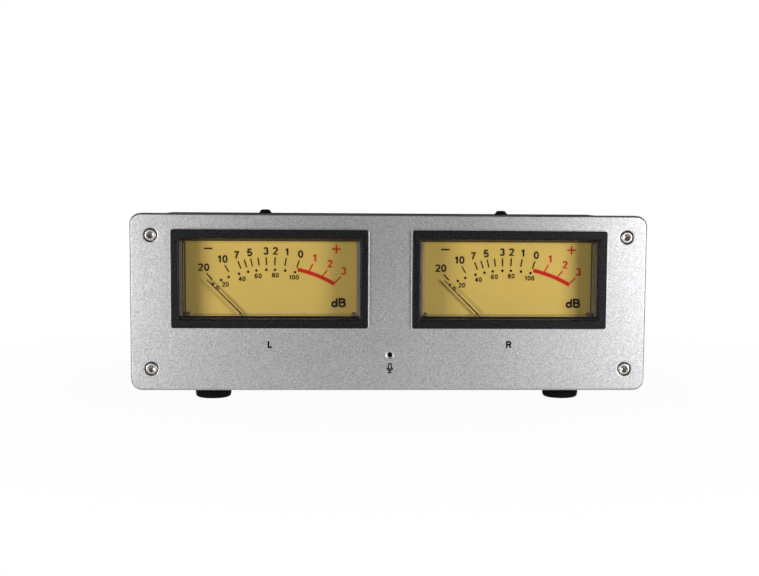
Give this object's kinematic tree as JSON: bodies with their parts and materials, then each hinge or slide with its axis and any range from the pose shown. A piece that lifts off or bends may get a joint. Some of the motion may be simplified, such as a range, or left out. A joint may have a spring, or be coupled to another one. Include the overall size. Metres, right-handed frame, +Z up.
{
  "type": "stereo vu level meter",
  "caption": "Desktop stereo VU level meter with analogue needle dials in a silver front panel, a microphone hole, a black steel case on rubber feet, and rear sockets and controls.",
  "frame": {"origin": "on the surface that the feet stand on, under the middle of the box that bounds the whole object", "axes": "+Z up, the front panel faces -Y, +X to the right as the front is seen"},
  "size_m": [0.236, 0.1492, 0.0874],
  "materials": {
    "panel_silver": "fine bead-blasted and clear anodised",
    "case_black": "fine-textured black powder coat",
    "rubber_black": "matt moulded",
    "screw_black": "black oxide",
    "plated_steel": "bright plated",
    "brass": "turned",
    "bezel_charcoal": "fine spark-textured moulding",
    "lens_clear": "clear polished moulding",
    "dial_gold": "printed satin sheet",
    "needle_black": "matt black lacquer",
    "moulding_black": "moulded",
    "magnet_grey": "ground",
    "board_green": "solder-resist coat",
    "nylon_white": "moulded"
  },
  "bodies": {
    "chassis": {"front_panel": "panel_silver", "chassis_tray": "case_black", "top_cover": "case_black", "rear_panel": "case_black", "foot_front_left": "rubber_black", "foot_front_right": "rubber_black", "foot_rear_left": "rubber_black", "foot_rear_right": "rubber_black", "foot_screw_front_left": "plated_steel", "foot_screw_front_right": "plated_steel", "foot_screw_rear_left": "plated_steel", "foot_screw_rear_right": "plated_steel", "panel_screw_left_lower": "plated_steel", "panel_screw_left_upper": "plated_steel", "panel_screw_right_lower": "plated_steel", "panel_screw_right_upper": "plated_steel", "rear_screw_left_lower": "screw_black", "rear_screw_left_upper": "screw_black", "rear_screw_right_lower": "screw_black", "rear_screw_right_upper": "screw_black", "cover_screw_left": "screw_black", "cover_screw_right": "screw_black", "cover_pillar_left": "brass", "cover_pillar_right": "brass", "meter_bezel_left": "bezel_charcoal", "meter_bezel_right": "bezel_charcoal", "meter_lens_left": "lens_clear", "meter_lens_right": "lens_clear", "meter_case_left": "moulding_black", "meter_case_right": "moulding_black", "meter_dial_left": "dial_gold", "meter_dial_right": "dial_gold", "meter_yoke_left": "plated_steel", "meter_yoke_right": "plated_steel", "meter_core_left": "magnet_grey", "meter_core_right": "magnet_grey", "meter_bridge_left": "brass", "meter_bridge_right": "brass", "hairspring_left": "brass", "hairspring_right": "brass", "meter_lamp_left": "board_green", "meter_lamp_right": "board_green", "mic_capsule": "plated_steel", "main_board": "board_green", "board_support_front_left": "nylon_white", "board_support_front_right": "nylon_white", "board_support_rear_left": "nylon_white", "board_support_rear_right": "nylon_white", "line_socket_left": "brass", "line_socket_right": "brass", "power_inlet": "moulding_black", "power_switch": "moulding_black", "selector_body": "plated_steel", "gain_pot": "plated_steel"},
    "needle_left": {"needle_left": "needle_black"},
    "needle_right": {"needle_right": "needle_black"},
    "power_rocker": {"power_rocker": "moulding_black"},
    "selector_lever": {"selector_lever": "plated_steel"},
    "gain": {"gain_shaft": "plated_steel", "gain_knob": "moulding_black"}
  },
  "joints": [
    {"name": "needle_left_swing", "type": "hinge", "parent": "chassis", "child": "needle_left", "pos_m": [-0.0548, -0.06435, 0.0269], "axis": [0, 1, 0], "range_deg": [0, 95], "stiffness_Nm_per_rad": 0.0001},
    {"name": "needle_right_swing", "type": "hinge", "parent": "chassis", "child": "needle_right", "pos_m": [0.0548, -0.06435, 0.0269], "axis": [0, 1, 0], "range_deg": [0, 95], "stiffness_Nm_per_rad": 0.0001},
    {"name": "power_rocker_tip", "type": "hinge", "parent": "chassis", "child": "power_rocker", "pos_m": [0.036, 0.05775, 0.04645], "axis": [1, 0, 0], "range_deg": [0, 20]},
    {"name": "selector_lever_tip", "type": "hinge", "parent": "chassis", "child": "selector_lever", "pos_m": [-0.012, 0.05665, 0.04645], "axis": [1, 0, 0], "range_deg": [0, 24]},
    {"name": "gain_turn", "type": "hinge", "parent": "chassis", "child": "gain", "pos_m": [0.012, 0.05665, 0.04645], "axis": [0, 1, 0], "range_deg": [-150, 150]}
  ]
}
